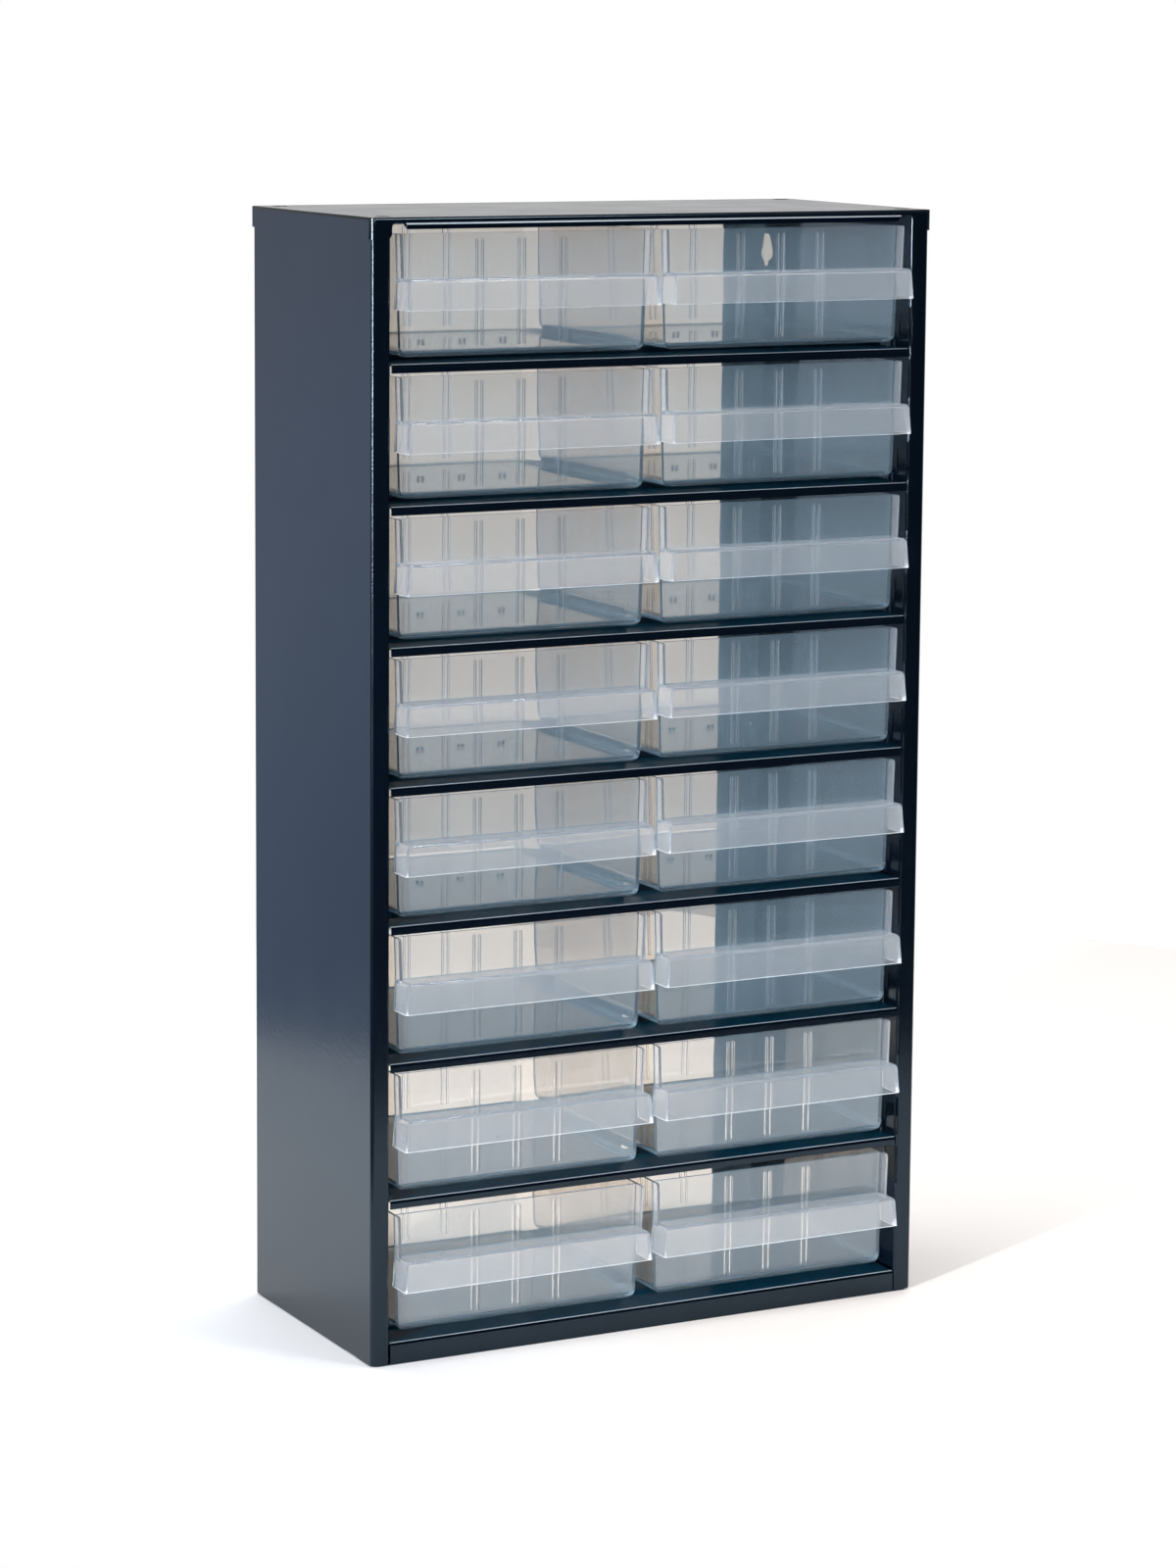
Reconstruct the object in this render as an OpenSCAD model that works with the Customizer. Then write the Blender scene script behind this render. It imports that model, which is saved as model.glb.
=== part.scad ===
// Small-parts cabinet: a spot-welded sheet steel carcass with eight rows of two clear drawers.
// +Z is up, the drawer fronts face -Y, and the origin is on the floor under the middle of the box.

/* [Cabinet] */
// Overall width, over the top cap
cab_w = 306; // [260:1:380]
// Overall depth, from the back to the front of the handles
cab_d = 150; // [142:1:200]
// Height from one shelf floor to the next
pitch = 67; // [62:0.5:80]
// How much taller the lowest bay is than the others
low_extra = 2.4; // [0:0.1:12]
// Height of the bottom pan's floor above the ground
pan_h = 14.5; // [13:0.1:22]
// Height of the bottom pan's front rail
pan_rail_h = 10.9; // [8:0.1:12]
// Sheet steel thickness
sheet = 0.8; // [0.6:0.1:1]
// Outside radius of the bends in the sheet
bend_r = 1.6; // [1.3:0.1:2]

/* [Side panels] */
// Width of the front flange beside the drawers
flange_w = 9.8; // [8:0.1:14]
// Depth of the lip that turns back from the front flange
lip_d = 14; // [13.5:0.5:20]
// Width of the flange across the back
rear_w = 39; // [32:1:50]
// Height of the windows in the lip above and below each shelf
window_h = 13.6; // [8:0.2:15]
// Depth of those windows, front to back
window_d = 8.2; // [5:0.2:9]
// How far the flange edge steps out beside a shelf
nick_d = 1.2; // [0.6:0.1:1.4]
// Radius of the wide part of the wall hanging slot
key_r = 4.3; // [3.5:0.1:6]
// Radius of the narrow top of the wall hanging slot
key_slot_r = 2.3; // [1.6:0.1:3]
// Distance between the middles of the wide part and the narrow top
key_rise = 7.5; // [5.5:0.1:9]
// Height of the middle of the wide part below the cabinet's top
key_drop = 28.4; // [24:0.2:40]
// Distance of the slot from the panel's outer face
key_inset = 12; // [10:0.2:24]

/* [Top cap] */
// Height of the skirt round the cap
skirt_h = 10.3; // [9:0.1:16]
// Gap between the cap's skirt and the panels it covers
cap_gap = 0.3; // [0.2:0.05:0.6]
// Radius of the cap's corners, seen from above
cap_corner_r = 3; // [2.4:0.1:5]
// Height of the plain part of the cap's front rail
rail_h = 2.5; // [2.2:0.1:4]
// Radius of the rolled edge under the front rail
roll_r = 1.75; // [1.4:0.05:2]
// Radius of the stacking holes
stack_r = 3.9; // [3:0.1:4.5]
// Distance of the stacking holes from the edges of the cap
stack_inset = 11; // [9:0.2:16]

/* [Shelves] */
// Height of a shelf's front lip
shelf_lip_h = 4.2; // [3:0.1:6]
// Rise from the strip behind the lip to the floor that the drawers stand on
floor_step = 2.6; // [1.5:0.1:3]
// Depth of the low strip, from the lip to the rise
strip_d = 27; // [18:0.5:36]
// Gap between the end of a strip and the side panel's lip
strip_gap = 0.5; // [0.2:0.1:4]
// Height of the guide blade between the two drawers of a row
guide_h = 5; // [3:0.1:8]
// Length of the guide blade
guide_len = 92; // [60:1:96]
// Depth of the edges turned down along the back and sides of a shelf
turn_h = 8; // [5:0.5:12]

/* [Drawers] */
// How far the drawer's front wall stands behind the flanges
front_recess = 5; // [3:0.1:8]
// Gap between the top of a drawer and the lip above it
head_gap = 2; // [1.4:0.1:4]
// Gap between the tops of the highest drawers and the cap's rolled edge
top_gap = 2.2; // [1.4:0.1:6]
// Gap between the tops of the two drawers of a row
middle_gap = 7.6; // [6.4:0.1:12]
// Gap between a drawer's top edge and the side panel's lip
side_gap = 4.4; // [3.8:0.1:8]
// Gap behind the drawer
back_gap = 0.8; // [0.3:0.1:3]
// Clearance under the drawer
seat_gap = 0.2; // [0.1:0.05:0.3]
// How much narrower the drawer is at the bottom, on each side
draft_x = 1.6; // [0.8:0.1:2.4]
// Slope of the back wall, top to bottom
draft_y = 1.6; // [0.8:0.1:2.4]
// Wall thickness
wall = 1.4; // [1.1:0.1:1.8]
// Radius of the lower side corners
drawer_r = 5; // [3:0.5:8]
// Height of the pull, from its top to its open lower edge
pull_h = 14.8; // [12:0.1:18]
// Distance of the pull's top below the drawer's top edge
pull_drop = 20.6; // [16:0.1:24]
// Reach of the pull in front of the drawer's front wall
pull_d = 14.2; // [12:0.1:18]
// How much the pull widens to its lower edge, at each end and in front
pull_flare = 0.8; // [0.2:0.1:1.2]
// Spacing of the two ribs that hold a divider
rib_pitch = 3; // [2.6:0.1:4]
// Thickness of a rib
rib_t = 0.9; // [0.6:0.1:1.2]
// Height of a rib off the wall
rib_d = 1.3; // [0.8:0.1:2]
// Distance of the ribs' ends from the drawer's floor and rim
rib_end = 3; // [2:0.5:6]
// Radius of the pins on the floor, which hold a divider's lower edge
pin_r = 0.7; // [0.5:0.05:1]
// Height of those pins
pin_h = 1.6; // [1:0.1:5]
// Gap between the two pins of a pair
pin_gap = 1; // [0.8:0.1:1.6]

/* [Hidden] */
rows = 8;
shelves = rows - 1;
cut = 1;
navy = "#1b2c3d";
clear_plastic = "#c9cfd2";

// Heights. Row 1 and shelf 1 are the highest.
function floor_z(row) = pan_h + (rows - row) * pitch + (row == rows ? 0 : low_extra);
drawer_h = pitch - shelf_lip_h - floor_step - head_gap - seat_gap;
roll_bite = 0.3;
roll_low = floor_z(1) + seat_gap + drawer_h + top_gap;
roll_z = roll_low + roll_r;
rail_low = roll_z + roll_r - roll_bite;
cab_h = rail_low + rail_h;

// Planes of the carcass, front to back. The pull reaches in front of the flanges.
pull_proud = pull_d - front_recess;
front_y = -cab_d / 2 + pull_proud;
cap_back_y = cab_d / 2;
back_y = cap_back_y - sheet - cap_gap;
cap_front_y = front_y - cap_gap - sheet;
side_x = cab_w / 2 - sheet - cap_gap;
wall_x = side_x - sheet;
lip_x = side_x - flange_w;
side_top = cab_h - sheet;
strip_x = lip_x - strip_gap;
rise_y = front_y + strip_d;
floor_y = rise_y + floor_step;
shelf_back_y = back_y - sheet;

// The flange's lip stops short of both ends of the panel, clear of the stacking holes.
lip_relief = skirt_h + 2;
// Distances of a window from the shelf beside it and from the flange's face
window_gap = 3.2;
window_front = 2.4;
nick_over = 3.6;
nub_r = 1.25;

// The front of the cap, and the ends of its rolled edge
throat_r = 2.4;
lobe_r = 3;
roll_proud = 0.5;
roll_end_gap = 5.5;
roll_slant = 3.5;

// Shelves and bottom pan
wing_gap = 2;
guide_y = floor_y + 1;
guide_r = 2.5;
foot_r = 4;

// Drawers
drawer_front_y = front_y + front_recess;
drawer_back_y = back_y - sheet - back_gap;
drawer_x0 = middle_gap / 2;
drawer_x1 = lip_x - side_gap;
drawer_w = drawer_x1 - drawer_x0;
drawer_mid = (drawer_x0 + drawer_x1) / 2;
floor_t = wall + 0.2;
front_r = 2;
back_r = 4;
pull_top = drawer_h - pull_drop;
pull_low = pull_top - pull_h;
pull_r = 2.4;
cheek_r = 1.2;
divider_shares = [-1 / 6, 0, 1 / 6];

$fn = 48;

// ---- shapes shared by the pieces ----

function unit(v) = v / norm(v);
function corner_angle(a, b, c) = acos(unit(a - b) * unit(c - b));

// A convex outline whose corners are rounded by the radii in rs, with true arcs.
module rounded(pts, rs) {
    n = len(pts);
    ends = [for (i = [0:n - 1]) let (
        a = pts[(i + n - 1) % n], b = pts[i], c = pts[(i + 1) % n],
        run = rs[i] / tan(corner_angle(a, b, c) / 2)
    ) each (rs[i] > 0 ? [b + unit(a - b) * run, b + unit(c - b) * run] : [b])];
    polygon(ends);
    for (i = [0:n - 1]) if (rs[i] > 0) {
        a = pts[(i + n - 1) % n];
        b = pts[i];
        c = pts[(i + 1) % n];
        reach = rs[i] / sin(corner_angle(a, b, c) / 2);
        translate(b + unit(unit(a - b) + unit(c - b)) * reach) circle(rs[i]);
    }
}

// A cup seen from the side: flat and narrow at one end, with corners of radius r, and wide at the
// open end. The slope starts where the corner's arc is upright.
module cup_view(narrow, wide, flat_z, open_z, r) {
    arc_z = flat_z + sign(open_z - flat_z) * r;
    polygon([
        [-narrow + r, flat_z], [narrow - r, flat_z], [narrow, arc_z], [wide, open_z],
        [-wide, open_z], [-narrow, arc_z]
    ]);
    for (side = [-1, 1]) translate([side * (narrow - r), arc_z]) circle(r);
}

// Quarter of a bend in the sheet, centred on the origin, in the quadrant that (sx, sy) points at.
module bend(sx, sy, r = bend_r) {
    intersection() {
        difference() {
            circle(r);
            circle(r - sheet);
        }
        translate([sx > 0 ? 0 : -r, sy > 0 ? 0 : -r]) square(r);
    }
}

// Extrudes an outline drawn in X and Z along Y, from y0 to y1.
module along_y(y0, y1) {
    translate([0, y1, 0]) rotate([90, 0, 0]) linear_extrude(y1 - y0) children();
}

// Extrudes an outline drawn in Y and Z along X, from x0 to x1.
module along_x(x0, x1) {
    translate([x0, 0, 0]) rotate([90, 0, 90]) linear_extrude(x1 - x0) children();
}

// ---- side panels ----

module side_outline() {
    translate([wall_x, front_y + bend_r]) square([sheet, back_y - front_y - 2 * bend_r]);
    translate([side_x - bend_r, front_y + bend_r]) bend(1, -1);
    translate([lip_x + bend_r, front_y]) square([flange_w - 2 * bend_r, sheet]);
    translate([lip_x + bend_r, front_y + bend_r]) bend(-1, -1);
    translate([lip_x, front_y + bend_r]) square([sheet, lip_d - bend_r]);
    translate([side_x - bend_r, back_y - bend_r]) bend(1, 1);
    translate([side_x - rear_w, back_y - sheet]) square([rear_w - bend_r, sheet]);
}

// Wall hanging slot: a wide eye for the screw's head with a narrow top for its shank.
module hanging_slot() {
    slope = asin((key_r - key_slot_r) / key_rise);
    circle(key_r);
    translate([0, key_rise]) circle(key_slot_r);
    polygon([
        [key_r * cos(slope), key_r * sin(slope)],
        [key_slot_r * cos(slope), key_rise + key_slot_r * sin(slope)],
        [-key_slot_r * cos(slope), key_rise + key_slot_r * sin(slope)],
        [-key_r * cos(slope), key_r * sin(slope)]
    ]);
    translate([0, -key_r - nub_r]) circle(nub_r);
    translate([-nub_r, -key_r - nub_r]) square([2 * nub_r, key_r]);
}

// The window and the stepped flange edge on one side of a shelf. z0 is the end nearer the shelf.
module lip_window(z0, up) {
    low = up ? z0 + window_gap : z0 - window_gap - window_h;
    translate([lip_x - cut, front_y + window_front, low])
        cube([sheet + 2 * cut, window_d, window_h]);
    nick_low = up ? z0 + cut : z0 - window_gap - window_h - nick_over;
    translate([lip_x - cut, front_y - cut, nick_low])
        cube([nick_d + cut, cut + window_front - sheet, window_gap + window_h + nick_over - cut]);
}

module side_right() {
    color(navy) difference() {
        translate([0, 0, sheet]) linear_extrude(side_top - sheet) side_outline();
        for (i = [1:shelves]) {
            lip_window(floor_z(i) - floor_step, true);
            lip_window(floor_z(i) - floor_step - shelf_lip_h, false);
        }
        for (z = [0, cab_h - lip_relief])
            translate([lip_x - cut, front_y + bend_r, z]) cube([sheet + 2 * cut, lip_d, lip_relief]);
        translate([side_x - key_inset, 0, cab_h - key_drop])
            along_y(back_y - sheet - cut, back_y + cut) hanging_slot();
    }
}

module side_left() {
    mirror([1, 0, 0]) side_right();
}

// ---- top cap ----

// The solid block that fills the cap, grown or shrunk by inset on every face but the lower one.
module cap_block(inset, low) {
    x = cab_w / 2 - inset;
    y0 = cap_front_y + inset;
    y1 = cap_back_y - inset;
    top = cab_h - inset;
    r = bend_r - inset;
    corner = cap_corner_r - inset;
    intersection() {
        translate([0, 0, low]) linear_extrude(top - low)
            rounded([[-x, y0], [x, y0], [x, y1], [-x, y1]], [corner, corner, corner, corner]);
        along_y(y0, y1) rounded([[-x, low], [x, low], [x, top], [-x, top]], [0, 0, r, r]);
        along_x(-x, x) rounded([[y0, low], [y1, low], [y1, top], [y0, top]], [0, 0, r, r]);
    }
}

// What is cut from the front skirt between the two lobes that wrap the side flanges.
module cap_mouth() {
    low = cab_h - skirt_h - cut;
    rounded([[-lip_x, low], [lip_x, low], [lip_x, rail_low], [-lip_x, rail_low]],
        [0, 0, throat_r, throat_r]);
}

// Rounds the lower inner corner of a lobe.
module lobe_corner() {
    low = cab_h - skirt_h;
    difference() {
        translate([lip_x - cut, low - cut]) square(lobe_r + cut);
        translate([lip_x + lobe_r, low + lobe_r]) circle(lobe_r);
    }
}

// The rolled edge under the front rail, with its ends cut at a slant. It stands a little proud.
module roll() {
    long = lip_x - roll_end_gap;
    short = long - roll_slant;
    low = roll_low - cut;
    intersection() {
        translate([-long, cap_front_y + roll_r - roll_proud, roll_z]) rotate([0, 90, 0]) difference() {
            cylinder(r = roll_r, h = 2 * long);
            translate([0, 0, -cut]) cylinder(r = roll_r - sheet, h = 2 * long + 2 * cut);
        }
        along_y(cap_front_y - cut, cap_front_y + 2 * roll_r + cut)
            polygon([[-short, low], [short, low], [long, cab_h], [-long, cab_h]]);
    }
}

module stack_holes(z0, z1) {
    for (x = [-1, 1], y = [cap_front_y + stack_inset, cap_back_y - stack_inset])
        translate([x * (cab_w / 2 - stack_inset), y, z0]) cylinder(r = stack_r, h = z1 - z0);
}

module top_cap() {
    low = cab_h - skirt_h;
    color(navy) {
        difference() {
            cap_block(0, low);
            cap_block(sheet, low - cut);
            along_y(cap_front_y - cut, cap_front_y + cap_corner_r + cut) {
                cap_mouth();
                lobe_corner();
                mirror([1, 0]) lobe_corner();
            }
            stack_holes(cab_h - sheet - cut, cab_h + cut);
        }
        roll();
    }
}

// ---- shelves and bottom pan ----

// Side view of a shelf: front lip, low strip, rise, floor and the edge turned down at the back.
// z is the floor's upper face, strip_z that of the strip, drop the height of the front lip and
// turn the height of the turned edge.
module shelf_outline(z, strip_z, drop, turn) {
    translate([front_y, strip_z - drop]) square([sheet, drop - bend_r]);
    translate([front_y + bend_r, strip_z - bend_r]) bend(-1, 1);
    translate([front_y + bend_r, strip_z - sheet]) square([strip_d - bend_r, sheet]);
    polygon([
        [rise_y, strip_z - sheet], [floor_y, z - sheet], [floor_y, z], [rise_y, strip_z]
    ]);
    translate([floor_y, z - sheet]) square([shelf_back_y - bend_r - floor_y, sheet]);
    translate([shelf_back_y - bend_r, z - bend_r]) bend(1, 1);
    translate([shelf_back_y - sheet, z - turn]) square([sheet, turn - bend_r]);
}

// The floor behind the rise, with its edges turned down against the side panels.
module floor_wings(z, turn) {
    y0 = floor_y + wing_gap;
    y1 = shelf_back_y - bend_r - wing_gap;
    for (side = [-1, 1]) scale([side, 1, 1]) {
        translate([strip_x - cut, y0, z - sheet]) cube([wall_x - bend_r - strip_x + cut, y1 - y0, sheet]);
        along_y(y0, y1) {
            translate([wall_x - bend_r, z - bend_r]) bend(1, 1);
            translate([wall_x - sheet, z - turn]) square([sheet, turn - bend_r]);
        }
    }
}

// Guide blade: a strip cut out of the floor on three sides and stood up on the fourth.
module guide(z) {
    y1 = guide_y + guide_len;
    top = z + guide_h;
    along_x(-sheet / 2, sheet / 2)
        rounded([[guide_y, z - sheet], [y1, z - sheet], [y1, top], [guide_y, top]],
            [0, 0, guide_r, guide_r]);
}

module guide_slot(z) {
    translate([sheet / 2, guide_y, z - sheet - cut])
        cube([guide_h + sheet, guide_len, sheet + 2 * cut]);
}

module tray(z, strip_z, drop, turn) {
    difference() {
        union() {
            along_x(-strip_x, strip_x) shelf_outline(z, strip_z, drop, turn);
            floor_wings(z, turn);
        }
        guide_slot(z);
    }
    guide(z);
}

module shelf(i) {
    color(navy) tray(floor_z(i), floor_z(i) - floor_step, shelf_lip_h, turn_h);
}

// The feet of the pan: the front and back rails turn in under the cabinet and carry the panels.
module pan_foot(y0, y1) {
    r = foot_r;
    linear_extrude(sheet)
        rounded([[-wall_x, y0], [wall_x, y0], [wall_x, y1], [-wall_x, y1]], [r, r, r, r]);
}

module bottom_pan() {
    foot_d = 2 * stack_inset;
    color(navy) difference() {
        union() {
            tray(pan_h, pan_rail_h, pan_rail_h, pan_h);
            pan_foot(front_y, front_y + foot_d);
            pan_foot(back_y - sheet - foot_d, back_y - sheet);
        }
        stack_holes(-cut, sheet + cut);
    }
}

// ---- drawers ----
// A drawer is drawn on its own middle line, standing on z = 0, and then put in its place.

// Front view of the drawer, shrunk by inset, from z0 up.
module drawer_front_view(inset, z0, top) {
    half = drawer_w / 2 - inset;
    cup_view(half - draft_x, half, z0, top, drawer_r - inset);
}

// Side view of the drawer, shrunk by inset. Only the back slopes.
module drawer_side_view(inset, z0, top) {
    y0 = drawer_front_y + inset;
    y1 = drawer_back_y - inset;
    low_y = y1 - draft_y;
    r = drawer_r - inset;
    polygon([
        [y0 + front_r, z0], [low_y - r, z0], [low_y, z0 + r], [y1, top], [y0, top], [y0, z0 + front_r]
    ]);
    translate([y0 + front_r, z0 + front_r]) circle(front_r);
    translate([low_y - r, z0 + r]) circle(r);
}

module drawer_block(inset, z0, top) {
    half = drawer_w / 2 - inset;
    y0 = drawer_front_y + inset;
    y1 = drawer_back_y - inset;
    r = back_r - inset;
    intersection() {
        along_y(y0, y1) drawer_front_view(inset, z0, top);
        along_x(-half, half) drawer_side_view(inset, z0, top);
        linear_extrude(top) rounded([[-half, y0], [half, y0], [half, y1], [-half, y1]], [0, 0, r, r]);
    }
}

// Low walls that carry the drawer's sides forward above the pull, one at each end.
module cheeks() {
    intersection() {
        along_y(front_y, drawer_front_y + wall) difference() {
            drawer_front_view(0, 0, drawer_h);
            drawer_front_view(wall, -cut, drawer_h + cut);
        }
        along_x(-drawer_w, drawer_w) rounded([
            [front_y, pull_top - wall], [drawer_front_y + wall, pull_top - wall],
            [drawer_front_y + wall, drawer_h], [front_y, drawer_h]
        ], [0, 0, 0, cheek_r]);
    }
}

// Outside of the pull, shrunk by inset, down to low. Its lower edge is open and a little wider.
module pull_block(inset, low) {
    back = drawer_front_y + (inset > 0 ? 0 : wall / 2);
    top = pull_top - inset;
    half = drawer_w / 2 - draft_x * pull_drop / drawer_h - inset;
    front = drawer_front_y - pull_d + pull_flare + inset;
    r = pull_r - inset;
    brow_r = r / 2;
    intersection() {
        along_y(front - pull_flare, back) cup_view(half, half + pull_flare, top, low, r);
        along_x(-drawer_w, drawer_w) {
            polygon([
                [front - pull_flare, low], [back, low], [back, top], [front + brow_r, top],
                [front, top - brow_r]
            ]);
            translate([front + brow_r, top - brow_r]) circle(brow_r);
        }
    }
}

module pull() {
    difference() {
        pull_block(0, pull_low);
        pull_block(wall, pull_low - cut);
    }
}

// Pairs of ribs on the front and back walls, which hold dividers at a third, half and two thirds.
module divider_ribs() {
    low = floor_t + rib_end;
    top = drawer_h - rib_end;
    back_low = drawer_back_y - wall - draft_y * (1 - low / drawer_h);
    back_top = drawer_back_y - wall - draft_y * (1 - top / drawer_h);
    root = wall / 2;
    front = drawer_front_y + wall;
    for (share = divider_shares, side = [-1, 1]) {
        x = share * drawer_w + side * rib_pitch / 2 - rib_t / 2;
        along_x(x, x + rib_t) {
            polygon([
                [front - root, low], [front + rib_d, low], [front + rib_d, top], [front - root, top]
            ]);
            polygon([
                [back_low - rib_d, low], [back_low + root, low], [back_top + root, top],
                [back_top - rib_d, top]
            ]);
        }
    }
}

// Pairs of pins across the middle of the floor, in line with the ribs.
module divider_pins() {
    mid_y = (drawer_front_y + drawer_back_y) / 2;
    for (share = divider_shares, side = [-1, 1])
        translate([share * drawer_w + side * (pin_gap / 2 + pin_r), mid_y, floor_t - wall / 2])
            cylinder(r = pin_r, h = wall / 2 + pin_h);
}

module drawer_shape() {
    difference() {
        drawer_block(0, 0, drawer_h);
        drawer_block(wall, floor_t, drawer_h + cut);
    }
    cheeks();
    pull();
    divider_ribs();
    divider_pins();
}

module drawer(row, side) {
    color(clear_plastic) translate([side * drawer_mid, 0, floor_z(row) + seat_gap]) drawer_shape();
}

side_left();
side_right();
top_cap();
bottom_pan();
for (i = [1:shelves]) shelf(i);
for (row = [1:rows]) drawer(row, -1);
for (row = [1:rows]) drawer(row, 1);
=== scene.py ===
from math import radians

import bpy
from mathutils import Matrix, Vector


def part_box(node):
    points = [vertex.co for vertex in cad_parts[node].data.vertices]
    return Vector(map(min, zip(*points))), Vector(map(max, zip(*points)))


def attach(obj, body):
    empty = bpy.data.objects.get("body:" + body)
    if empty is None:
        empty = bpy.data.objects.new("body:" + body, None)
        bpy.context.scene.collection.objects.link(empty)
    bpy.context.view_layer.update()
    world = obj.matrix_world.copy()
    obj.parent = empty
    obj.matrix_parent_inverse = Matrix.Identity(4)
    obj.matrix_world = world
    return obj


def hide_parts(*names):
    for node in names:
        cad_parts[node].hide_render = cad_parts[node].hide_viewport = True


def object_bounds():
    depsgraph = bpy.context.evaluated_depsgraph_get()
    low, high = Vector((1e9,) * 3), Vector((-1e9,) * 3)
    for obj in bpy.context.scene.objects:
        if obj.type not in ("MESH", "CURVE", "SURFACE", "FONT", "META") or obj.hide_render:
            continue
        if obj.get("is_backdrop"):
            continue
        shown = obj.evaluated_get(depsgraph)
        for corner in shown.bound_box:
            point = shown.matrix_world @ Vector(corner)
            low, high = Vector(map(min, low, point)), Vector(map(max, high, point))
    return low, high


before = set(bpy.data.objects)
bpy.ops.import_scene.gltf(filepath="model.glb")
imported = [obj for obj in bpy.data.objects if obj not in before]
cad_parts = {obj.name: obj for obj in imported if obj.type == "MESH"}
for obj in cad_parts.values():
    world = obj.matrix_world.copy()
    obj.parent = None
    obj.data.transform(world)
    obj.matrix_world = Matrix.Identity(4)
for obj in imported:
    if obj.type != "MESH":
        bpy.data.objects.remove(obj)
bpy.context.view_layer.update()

# ---------------------------------------------------------------------------------------------
# Bottom pan
# The lowest sheet: its front rail, low strip and raised floor are one folding, and its feet turn
# in under the cabinet. Folded from 0.8 mm steel, spot-welded to the side panels and painted.

PAINT_NAVY = (0.0007, 0.0024, 0.0056, 1)
PAINT_NAVY_WORN = (0.0011, 0.0034, 0.0078, 1)
# Painted light: the lighter teal on up-facing faces stands for the light falling on them from above.
PAINT_TOPLIT = (0.0010, 0.0200, 0.0400, 1)
PAINT_TOPLIT_WORN = (0.0016, 0.0240, 0.0480, 1)
# Painted highlight: the pale colours along the tops of the folds and the roll stand for the light
# they catch.
PAINT_HIGHLIGHT = (0.26, 0.30, 0.34, 1)
PAINT_HIGHLIGHT_PATCHES = (0.38, 0.41, 0.44, 1)
PAINT_SHEEN = (0.62, 0.83, 1.0, 1)
PAINT_IOR = 1.5
SMOOTHEST = 0.13
DULLEST = 0.22
WEAR_SCALE = 9
HANDLING_SCALE = 35
PEEL_SCALE = 420
PEEL_DEPTH = 0.0002
PEEL_STRENGTH = 0.12


def navy_paint(name, colour, worn):
    """Smooth semi-gloss stove enamel, with the faint orange peel of a sprayed coat."""
    paint = bpy.data.materials.new(name)
    paint.use_nodes = True
    nodes, links = paint.node_tree.nodes, paint.node_tree.links
    coat = nodes["Principled BSDF"]
    coat.inputs["IOR"].default_value = PAINT_IOR
    coat.inputs["Specular Tint"].default_value = PAINT_SHEEN
    place = nodes.new("ShaderNodeTexCoord")
    drift = nodes.new("ShaderNodeTexNoise")
    drift.inputs["Scale"].default_value = WEAR_SCALE
    drift.inputs["Detail"].default_value = 4
    tint = nodes.new("ShaderNodeValToRGB")
    tint.color_ramp.elements[0].position = 0.35
    tint.color_ramp.elements[0].color = colour
    tint.color_ramp.elements[1].position = 0.7
    tint.color_ramp.elements[1].color = worn
    links.new(place.outputs["Object"], drift.inputs["Vector"])
    links.new(drift.outputs["Fac"], tint.inputs["Fac"])
    links.new(tint.outputs["Color"], coat.inputs["Base Color"])
    handled = nodes.new("ShaderNodeTexNoise")
    handled.inputs["Scale"].default_value = HANDLING_SCALE
    handled.inputs["Detail"].default_value = 6
    gloss = nodes.new("ShaderNodeMapRange")
    gloss.inputs["To Min"].default_value = SMOOTHEST
    gloss.inputs["To Max"].default_value = DULLEST
    links.new(place.outputs["Object"], handled.inputs["Vector"])
    links.new(handled.outputs["Fac"], gloss.inputs["Value"])
    links.new(gloss.outputs["Result"], coat.inputs["Roughness"])
    peel = nodes.new("ShaderNodeTexNoise")
    peel.inputs["Scale"].default_value = PEEL_SCALE
    peel.inputs["Detail"].default_value = 2
    skin = nodes.new("ShaderNodeBump")
    skin.inputs["Strength"].default_value = PEEL_STRENGTH
    skin.inputs["Distance"].default_value = PEEL_DEPTH
    links.new(place.outputs["Object"], peel.inputs["Vector"])
    links.new(peel.outputs["Fac"], skin.inputs["Height"])
    links.new(skin.outputs["Normal"], coat.inputs["Normal"])
    return paint


# The coat is full and glossy outside and dull round the front folds. Up-facing faces take a lighter,
# less glossy teal copy, which is painted light from above, and a pale copy along the tops of the
# folds is a painted highlight.
NAVY = navy_paint("navy_paint", PAINT_NAVY, PAINT_NAVY_WORN)
# Painted light: a lighter teal copy of the paint, with less gloss, for the faces that look up.
NAVY_TOPLIT = navy_paint("navy_paint_toplit", PAINT_TOPLIT, PAINT_TOPLIT_WORN)
toplit_coat = NAVY_TOPLIT.node_tree.nodes["Principled BSDF"]
toplit_coat.inputs["Specular IOR Level"].default_value = 0.0
toplit_coat.inputs["Coat Weight"].default_value = 0.4
toplit_coat.inputs["Coat Roughness"].default_value = 0.16
NAVY_FOLD = navy_paint("navy_paint_fold", PAINT_NAVY, PAINT_NAVY_WORN)
dull_coat = NAVY_FOLD.node_tree.nodes["Principled BSDF"]
dull_coat.inputs["Specular IOR Level"].default_value = 0.0
# Painted highlight: a pale copy of the paint for the tops of the folds and of the roll.
NAVY_PAINTED_HIGHLIGHT = navy_paint("navy_paint_painted_highlight", PAINT_HIGHLIGHT, PAINT_HIGHLIGHT_PATCHES)

SAME_POINT = 0.000002
FLAT_ANGLE = radians(0.4)
CUT_ANGLE = radians(50)
SMOOTH_ANGLE = radians(40)


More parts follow.
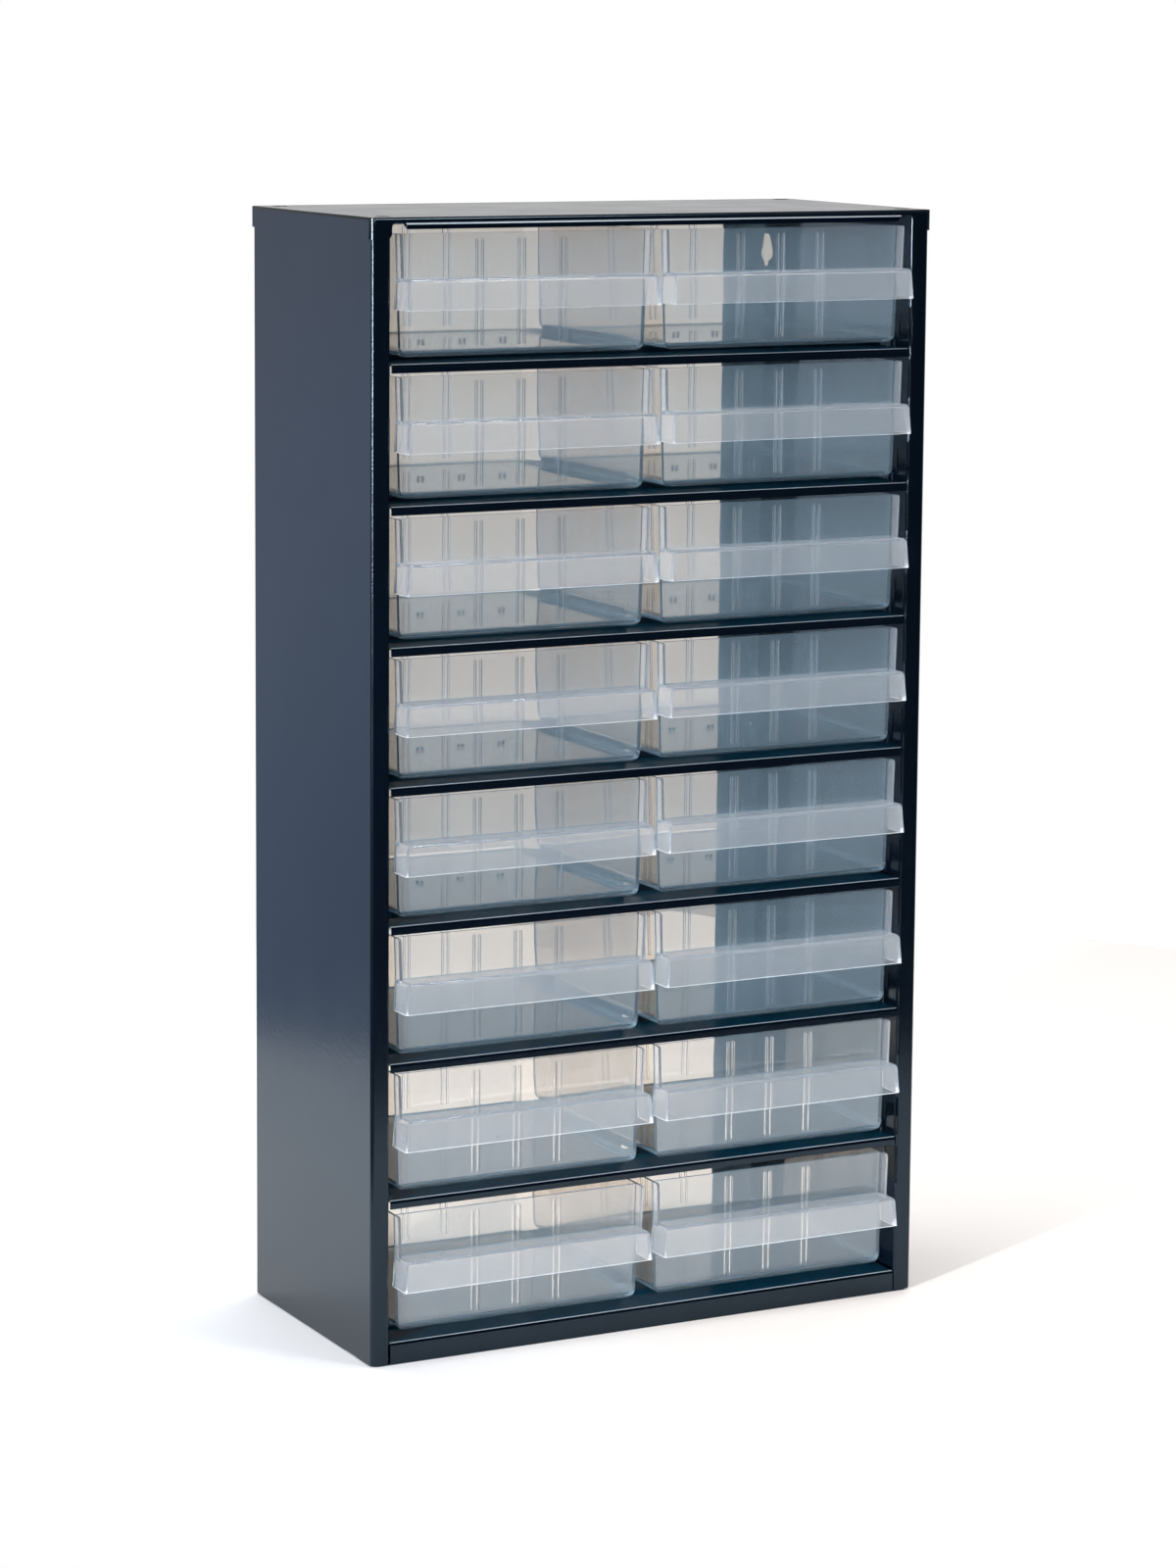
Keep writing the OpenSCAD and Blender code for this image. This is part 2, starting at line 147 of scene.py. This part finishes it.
def softened(name, node, edge, finishes):
    """A copy of a solid's surface as one skin, with its cut edges rounded off by edge metres.

    The first finish goes on the faces and the last one on the rounded edges.
    """
    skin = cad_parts[node].data.copy()
    skin.materials.clear()
    for finish in finishes:
        skin.materials.append(finish)
    piece = bpy.data.objects.new(name, skin)
    bpy.context.scene.collection.objects.link(piece)
    bpy.ops.object.select_all(action="DESELECT")
    piece.select_set(True)
    bpy.context.view_layer.objects.active = piece
    bpy.ops.mesh.customdata_custom_splitnormals_clear()
    bpy.ops.object.mode_set(mode="EDIT")
    bpy.ops.mesh.select_all(action="SELECT")
    bpy.ops.mesh.remove_doubles(threshold=SAME_POINT)
    bpy.ops.mesh.dissolve_limited(angle_limit=FLAT_ANGLE)
    bpy.ops.object.mode_set(mode="OBJECT")
    rounding = piece.modifiers.new("rounding", "BEVEL")
    rounding.width = edge
    rounding.segments = 2
    rounding.limit_method = "ANGLE"
    rounding.angle_limit = CUT_ANGLE
    rounding.material = len(finishes) - 1
    bpy.ops.object.modifier_apply(modifier=rounding.name)
    bpy.ops.object.shade_smooth_by_angle(angle=SMOOTH_ANGLE)
    evening = piece.modifiers.new("evening", "WEIGHTED_NORMAL")
    evening.weight = 100
    evening.keep_sharp = True
    bpy.ops.object.modifier_apply(modifier=evening.name)
    return piece


SHEET_EDGE = 0.0003
FACES_UP = 0.9
TOPLIT_INDEX = 1
FOLD_INDEX = 3
HIGHLIGHT_INDEX = 4


def painted_sheet(name, node):
    """A sheet in its coat; up-facing faces take a lighter, less glossy teal copy: painted light from
    above.
    """
    piece = softened(name, node, SHEET_EDGE, [NAVY, NAVY_TOPLIT, NAVY])
    for face in piece.data.polygons:
        # Up-facing faces take the lighter teal copy, which is painted light from above.
        if face.normal.z > FACES_UP and node != "top_cap":
            face.material_index = TOPLIT_INDEX
    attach(piece, "carcass")
    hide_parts(node)
    return piece


LIP_BEND = 0.0018
BEND_STARTS = 0.12
BEND_ENDS = 0.97
HIGHLIGHT_TO = 0.5


def fold_with_painted_highlight(piece, node):
    """The fold along the front of a tray, dull round its bend, with a pale paint along its top as a
    painted highlight.

    BEND_STARTS, HIGHLIGHT_TO and BEND_ENDS say how far ahead a face looks, from 0 for a level one to
    1 for an upright one.
    """
    piece.data.materials.append(NAVY_FOLD)
    piece.data.materials.append(NAVY_PAINTED_HIGHLIGHT)
    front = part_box(node)[0][1]
    for face in piece.data.polygons:
        ahead = -face.normal.y
        in_bend = face.normal.z > 0 and BEND_STARTS < ahead < BEND_ENDS
        # Faces near the top of the bend take the pale paint, a painted highlight; the rest of the
        # bend is dull.
        if in_bend and face.center.y < front + LIP_BEND:
            face.material_index = HIGHLIGHT_INDEX if ahead < HIGHLIGHT_TO else FOLD_INDEX


pan = painted_sheet("pan_sheet", "bottom_pan")
fold_with_painted_highlight(pan, "bottom_pan")

# ---------------------------------------------------------------------------------------------
# Side panels
# One wide sheet each, folded round to a narrow flange with a turned-back lip beside the drawers
# and a wide flange across the back. The windows and steps in the lip are punched beside each shelf.

for hand in ("left", "right"):
    painted_sheet("side_sheet_" + hand, "side_" + hand)

# ---------------------------------------------------------------------------------------------
# Shelves
# Seven folded sheets like the pan's floor, each with a front lip, a low strip, a raised floor and
# a guide blade cut from the floor and stood up. They are welded to the side panels and back flanges.

SHELVES = 7

for level in range(1, SHELVES + 1):
    shelf = painted_sheet("shelf_sheet_%d" % level, "shelf_%d" % level)
    fold_with_painted_highlight(shelf, "shelf_%d" % level)

# ---------------------------------------------------------------------------------------------
# Top cap
# A pressed lid whose skirt covers the tops of the panels. Its front rail ends in a rolled edge
# above the drawers, with a pale paint along its top as a painted highlight, and a stacking hole is
# punched near each corner.

ROLL_HALF_LENGTH = 0.1367
ROLL_TOP_DROP = 0.0025
ROLL_LOW_DROP = 0.0058
ROLL_DEPTH = 0.0034
ROLL_LIT_FROM = 0.35
ROLL_LIT_TO = 0.75

cap = painted_sheet("cap_sheet", "top_cap")
cap.data.materials.append(NAVY_FOLD)
cap.data.materials.append(NAVY_PAINTED_HIGHLIGHT)
cap_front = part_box("top_cap")[0][1]
cap_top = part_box("top_cap")[1][2]
for face in cap.data.polygons:
    aside, back, height = abs(face.center.x), face.center.y, face.center.z
    in_roll = cap_top - ROLL_LOW_DROP < height < cap_top - ROLL_TOP_DROP
    if in_roll and aside < ROLL_HALF_LENGTH and back < cap_front + ROLL_DEPTH:
        # The roll's upper front faces take the pale paint, a painted highlight; the rest of the roll
        # is dull.
        highlit_face = -face.normal.y > 0 and ROLL_LIT_FROM < face.normal.z < ROLL_LIT_TO
        face.material_index = HIGHLIGHT_INDEX if highlit_face else FOLD_INDEX

# ---------------------------------------------------------------------------------------------
# Drawers
# Sixteen bins moulded in natural polypropylene, with a hollow pull across the front and pairs of
# ribs that hold dividers. The plastic is clear enough to see through, with a milky bloom.

BIN_CLEAR = (0.89, 0.83, 0.76, 1)
BIN_CLEAR_THICK = (0.93, 0.87, 0.80, 1)
BIN_BLOOM = (0.46, 0.70, 0.92, 1)
PULL_BLOOM = (0.76, 0.86, 1.0, 1)
EDGE_BLOOM = (0.90, 0.94, 1.0, 1)
LAMP_PASS = (0.88, 0.88, 0.88, 1)
PLASTIC_IOR = 1.49
SATIN = 0.02
FLOW_SCALE = 14
PULL_BACK = -0.0610
PULL_BLEND = 0.0006


def natural_plastic(name, wall_haze, pull_haze, wall_bloom, pull_bloom):
    """Natural polypropylene: what passes through is faintly warm, what it scatters is faintly blue.

    The hazes are the shares of light that one surface of the bin and of its pull scatters, and
    the blooms are the colours of that light. Rays towards a lamp pass straight through.
    """
    plastic = bpy.data.materials.new(name)
    plastic.use_nodes = True
    nodes, links = plastic.node_tree.nodes, plastic.node_tree.links
    clear = nodes["Principled BSDF"]
    clear.inputs["IOR"].default_value = PLASTIC_IOR
    clear.inputs["Transmission Weight"].default_value = 1.0
    place = nodes.new("ShaderNodeTexCoord")
    flow = nodes.new("ShaderNodeTexNoise")
    flow.inputs["Scale"].default_value = FLOW_SCALE
    flow.inputs["Detail"].default_value = 5
    tint = nodes.new("ShaderNodeValToRGB")
    tint.color_ramp.elements[0].position = 0.3
    tint.color_ramp.elements[0].color = BIN_CLEAR
    tint.color_ramp.elements[1].position = 0.7
    tint.color_ramp.elements[1].color = BIN_CLEAR_THICK
    links.new(place.outputs["Object"], flow.inputs["Vector"])
    links.new(flow.outputs["Fac"], tint.inputs["Fac"])
    links.new(tint.outputs["Color"], clear.inputs["Base Color"])
    satin = nodes.new("ShaderNodeMapRange")
    satin.inputs["To Min"].default_value = 0.0
    satin.inputs["To Max"].default_value = SATIN
    links.new(flow.outputs["Fac"], satin.inputs["Value"])
    links.new(satin.outputs["Result"], clear.inputs["Roughness"])
    depth = nodes.new("ShaderNodeSeparateXYZ")
    at_pull = nodes.new("ShaderNodeMapRange")
    at_pull.inputs["From Min"].default_value = PULL_BACK
    at_pull.inputs["From Max"].default_value = PULL_BACK - PULL_BLEND
    haze = nodes.new("ShaderNodeMix")
    haze.data_type = "RGBA"
    haze.inputs["A"].default_value = wall_bloom
    haze.inputs["B"].default_value = pull_bloom
    links.new(place.outputs["Object"], depth.inputs["Vector"])
    links.new(depth.outputs["Y"], at_pull.inputs["Value"])
    links.new(at_pull.outputs["Result"], haze.inputs["Factor"])
    facing = nodes.new("ShaderNodeBsdfDiffuse")
    behind = nodes.new("ShaderNodeBsdfTranslucent")
    links.new(haze.outputs["Result"], facing.inputs["Color"])
    links.new(haze.outputs["Result"], behind.inputs["Color"])
    bloom = nodes.new("ShaderNodeMixShader")
    bloom.inputs["Fac"].default_value = 0.5
    links.new(facing.outputs["BSDF"], bloom.inputs[1])
    links.new(behind.outputs["BSDF"], bloom.inputs[2])
    milky = nodes.new("ShaderNodeMixShader")
    share = nodes.new("ShaderNodeMapRange")
    share.inputs["To Min"].default_value = wall_haze
    share.inputs["To Max"].default_value = pull_haze
    links.new(at_pull.outputs["Result"], share.inputs["Value"])
    links.new(share.outputs["Result"], milky.inputs["Fac"])
    links.new(clear.outputs["BSDF"], milky.inputs[1])
    links.new(bloom.outputs["Shader"], milky.inputs[2])
    ray = nodes.new("ShaderNodeLightPath")
    lamplight = nodes.new("ShaderNodeBsdfTransparent")
    lamplight.inputs["Color"].default_value = LAMP_PASS
    either = nodes.new("ShaderNodeMixShader")
    links.new(ray.outputs["Is Shadow Ray"], either.inputs["Fac"])
    links.new(milky.outputs["Shader"], either.inputs[1])
    links.new(lamplight.outputs["BSDF"], either.inputs[2])
    links.new(either.outputs["Shader"], nodes["Material Output"].inputs["Surface"])
    return plastic


# The walls are hazy, the polished floor and the cheeks clearer. The rounded edges scatter more,
# and those of the pull, with its lower rim, scatter most and show as pale lines. The edges along
# the top of the pull are only as hazy as its walls.
PLASTIC = natural_plastic(
    "natural_plastic",
    wall_haze=0.11, pull_haze=0.115, wall_bloom=BIN_BLOOM, pull_bloom=PULL_BLOOM)
PLASTIC_FLOOR = natural_plastic(
    "natural_plastic_polished",
    wall_haze=0.01, pull_haze=0.9, wall_bloom=BIN_BLOOM, pull_bloom=EDGE_BLOOM)
PLASTIC_CHEEK = natural_plastic(
    "natural_plastic_cheek",
    wall_haze=0.02, pull_haze=0.115, wall_bloom=BIN_BLOOM, pull_bloom=PULL_BLOOM)
PLASTIC_EDGE = natural_plastic(
    "natural_plastic_edge",
    wall_haze=0.16, pull_haze=0.95, wall_bloom=EDGE_BLOOM, pull_bloom=EDGE_BLOOM)
BIN_FINISHES = [PLASTIC, PLASTIC_FLOOR, PLASTIC_CHEEK, PLASTIC_EDGE]

ROWS = SHELVES + 1
WALL_INDEX = 0
FLOOR_INDEX = 1
CHEEK_INDEX = 2
EDGE_INDEX = 3
MOULD_EDGE = 0.00045
PULL_FOOT_DROP = 0.030
PULL_HEAD_DROP = 0.0235
FLOOR_RISE = 0.002
SQUARE_ON = 0.9

for row in range(1, ROWS + 1):
    for hand in ("left", "right"):
        place = "%d_%s" % (row, hand)
        bin_piece = softened("bin_" + place, "drawer_" + place, MOULD_EDGE, BIN_FINISHES)
        low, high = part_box("drawer_" + place)
        for face in bin_piece.data.polygons:
            up, back, height = face.normal.z, face.center.y, face.center.z
            pull_foot = up < -SQUARE_ON and back < PULL_BACK and height < high[2] - PULL_FOOT_DROP
            bin_floor = abs(up) > SQUARE_ON and height < low[2] + FLOOR_RISE
            pull_head = back < PULL_BACK and height > high[2] - PULL_HEAD_DROP
            cheek = abs(face.normal.x) > SQUARE_ON and back > PULL_BACK
            if face.material_index == WALL_INDEX and (pull_foot or bin_floor):
                face.material_index = FLOOR_INDEX
            elif face.material_index == WALL_INDEX and cheek:
                face.material_index = CHEEK_INDEX
            elif face.material_index == EDGE_INDEX and pull_head:
                face.material_index = WALL_INDEX
        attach(bin_piece, "drawer_" + place)
        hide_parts("drawer_" + place)

# ---------------------------------------------------------------------------------------------
# Studio
# A round matt floor, white with a little blue at the left and a little cream at the right, which
# are painted cool and warm light for the paint to mirror; five soft lamps; and a sweep of light and
# dark that the paint mirrors and the plastic lets through.

FLOOR_RADIUS = 0.7
FLOOR_MIDDLE = (0.18, 0.17, 0)
# Painted light: the blue and the cream stand for cool light at the left and warm light at the right.
FLOOR_COOL_LIGHT = (0.84, 0.91, 1.0, 1)
FLOOR_WARM_LIGHT = (0.92, 0.88, 0.85, 1)
TINT_LEFT = -0.5
TINT_RIGHT = 1.0

bpy.ops.object.select_all(action="DESELECT")
bpy.ops.mesh.primitive_circle_add(
    vertices=96, radius=FLOOR_RADIUS, fill_type="NGON", location=FLOOR_MIDDLE)
floor = bpy.context.object
floor.name = "studio_floor"
bpy.ops.object.transform_apply(location=True, rotation=True, scale=True)
pale = bpy.data.materials.new("pale_floor")
pale.use_nodes = True
floor_nodes, floor_links = pale.node_tree.nodes, pale.node_tree.links
matt = floor_nodes["Principled BSDF"]
matt.inputs["Roughness"].default_value = 0.9
matt.inputs["Specular IOR Level"].default_value = 0.1
spot = floor_nodes.new("ShaderNodeTexCoord")
split = floor_nodes.new("ShaderNodeSeparateXYZ")
daylight = floor_nodes.new("ShaderNodeValToRGB")
daylight.color_ramp.elements[0].position = 0.10
daylight.color_ramp.elements[0].color = FLOOR_COOL_LIGHT
daylight.color_ramp.elements[1].position = 0.36
daylight.color_ramp.elements[1].color = FLOOR_WARM_LIGHT
across = floor_nodes.new("ShaderNodeMapRange")
across.inputs["From Min"].default_value = TINT_LEFT
across.inputs["From Max"].default_value = TINT_RIGHT
floor_links.new(spot.outputs["Object"], split.inputs["Vector"])
floor_links.new(split.outputs["X"], across.inputs["Value"])
floor_links.new(across.outputs["Result"], daylight.inputs["Fac"])
floor_links.new(daylight.outputs["Color"], matt.inputs["Base Color"])
floor.data.materials.append(pale)
floor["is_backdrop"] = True


def lamp(name, wide, tall, watts, place, aim):
    """A rectangular soft lamp at a place, turned towards a point that it is aimed at."""
    data = bpy.data.lights.new(name, "AREA")
    data.shape = "RECTANGLE"
    data.size = wide
    data.size_y = tall
    data.energy = watts
    piece = bpy.data.objects.new(name, data)
    bpy.context.scene.collection.objects.link(piece)
    piece.location = place
    piece.rotation_euler = (Vector(aim) - Vector(place)).to_track_quat("-Z", "Y").to_euler()
    return piece


overhead = lamp(
    "overhead", wide=2.2, tall=1.8, watts=54, place=(0.1, 0.35, 2.1), aim=(0.05, 0.1, 0.0))
overhead.visible_glossy = False
lamp("front_high", wide=0.35, tall=0.3, watts=10, place=(0.7, -1.2, 1.95), aim=(0.0, 0.0, 0.3))
lamp("left_tall", wide=0.9, tall=1.1, watts=9, place=(-1.95, -1.0, 0.75), aim=(0.0, 0.0, 0.5))
bounce = lamp(
    "table_bounce", wide=1.0, tall=0.5, watts=2.4, place=(0.05, -0.36, 0.003), aim=(0.05, -0.36, 1.0))
bounce.visible_camera = False
bounce.visible_glossy = False
lamp("left_strip", wide=0.1, tall=0.65, watts=62, place=(-1.9, -1.02, 0.52), aim=(0.0, 0.0, 0.5))

# The sweep's colours run along one slanting direction, from low at the front left to high at the
# back right, and darken towards the ceiling. The camera itself sees plain white.
SWEEP_TOWARDS = (0.6, 0.8, 1.0)
SWEEP_REACH = 1.3
SWEEP_START = (0.03, 0.03, 0.03, 1)
SWEEP_END = (0.76, 0.76, 0.76, 1)
SWEEP = (
    (0.36, (0.03, 0.03, 0.03)), (0.47, (0.13, 0.17, 0.23)), (0.56, (0.31, 0.40, 0.57)),
    (0.595, (0.34, 0.46, 0.68)), (0.615, (0.37, 0.50, 0.72)), (0.638, (0.58, 0.69, 0.95)),
    (0.66, (0.56, 0.64, 0.84)), (0.72, (0.52, 0.50, 0.48)), (0.785, (0.52, 0.49, 0.46)),
    (0.815, (0.80, 0.75, 0.71)), (0.862, (0.70, 0.68, 0.65)), (0.89, (0.76, 0.76, 0.76)),
)
CEILING_STARTS = 0.16
CEILING_FULL = 0.40
CEILING_SHARE = 0.25
WHITE = (1, 1, 1, 1)

world = bpy.data.worlds.new("studio")
bpy.context.scene.world = world
world.use_nodes = True
world_nodes, world_links = world.node_tree.nodes, world.node_tree.links
world_nodes.clear()
out = world_nodes.new("ShaderNodeOutputWorld")
look = world_nodes.new("ShaderNodeTexCoord")
along = world_nodes.new("ShaderNodeVectorMath")
along.operation = "DOT_PRODUCT"
along.inputs[1].default_value = SWEEP_TOWARDS
sweep = world_nodes.new("ShaderNodeValToRGB")
sweep.color_ramp.elements[0].color = SWEEP_START
sweep.color_ramp.elements[1].color = SWEEP_END
for at, shade in SWEEP:
    sweep.color_ramp.elements.new(at).color = (*shade, 1)
reach = world_nodes.new("ShaderNodeMapRange")
reach.inputs["From Min"].default_value = -SWEEP_REACH
reach.inputs["From Max"].default_value = SWEEP_REACH
rise = world_nodes.new("ShaderNodeSeparateXYZ")
ceiling = world_nodes.new("ShaderNodeMapRange")
ceiling.inputs["From Min"].default_value = CEILING_STARTS
ceiling.inputs["From Max"].default_value = CEILING_FULL
ceiling.inputs["To Min"].default_value = 1.0
ceiling.inputs["To Max"].default_value = CEILING_SHARE
fade = world_nodes.new("ShaderNodeVectorMath")
fade.operation = "SCALE"
around = world_nodes.new("ShaderNodeBackground")
plain = world_nodes.new("ShaderNodeBackground")
plain.inputs["Color"].default_value = WHITE
sight = world_nodes.new("ShaderNodeLightPath")
pick = world_nodes.new("ShaderNodeMixShader")
world_links.new(look.outputs["Generated"], along.inputs[0])
world_links.new(along.outputs["Value"], reach.inputs["Value"])
world_links.new(reach.outputs["Result"], sweep.inputs["Fac"])
world_links.new(look.outputs["Generated"], rise.inputs["Vector"])
world_links.new(rise.outputs["Z"], ceiling.inputs["Value"])
world_links.new(sweep.outputs["Color"], fade.inputs[0])
world_links.new(ceiling.outputs["Result"], fade.inputs["Scale"])
world_links.new(fade.outputs["Vector"], around.inputs["Color"])
world_links.new(sight.outputs["Is Camera Ray"], pick.inputs["Fac"])
world_links.new(around.outputs["Background"], pick.inputs[1])
world_links.new(plain.outputs["Background"], pick.inputs[2])
world_links.new(pick.outputs["Shader"], out.inputs["Surface"])

# Light crosses many plastic walls between the front and the back, so rays may bounce more often
# than usual.
scene = bpy.context.scene
scene.view_settings.view_transform = "Standard"
scene.cycles.max_bounces = 24
scene.cycles.transmission_bounces = 20
scene.cycles.transparent_max_bounces = 32

# ---------------------------------------------------------------------------------------------
# Camera
# Eye level a little above the cabinet, from its front left, through a long lens.

eye = bpy.data.cameras.new("camera")
eye.sensor_fit = "VERTICAL"
eye.sensor_height = 36
eye.lens = 100.5
eye.shift_y = -0.1
eye.clip_start = 0.05
camera = bpy.data.objects.new("camera", eye)
scene.collection.objects.link(camera)
camera.location = (-1.0061, -1.9195, 0.6423)
camera.rotation_euler = (radians(82.1402), radians(-0.4402), radians(-27.5348))
scene.camera = camera

low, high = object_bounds()
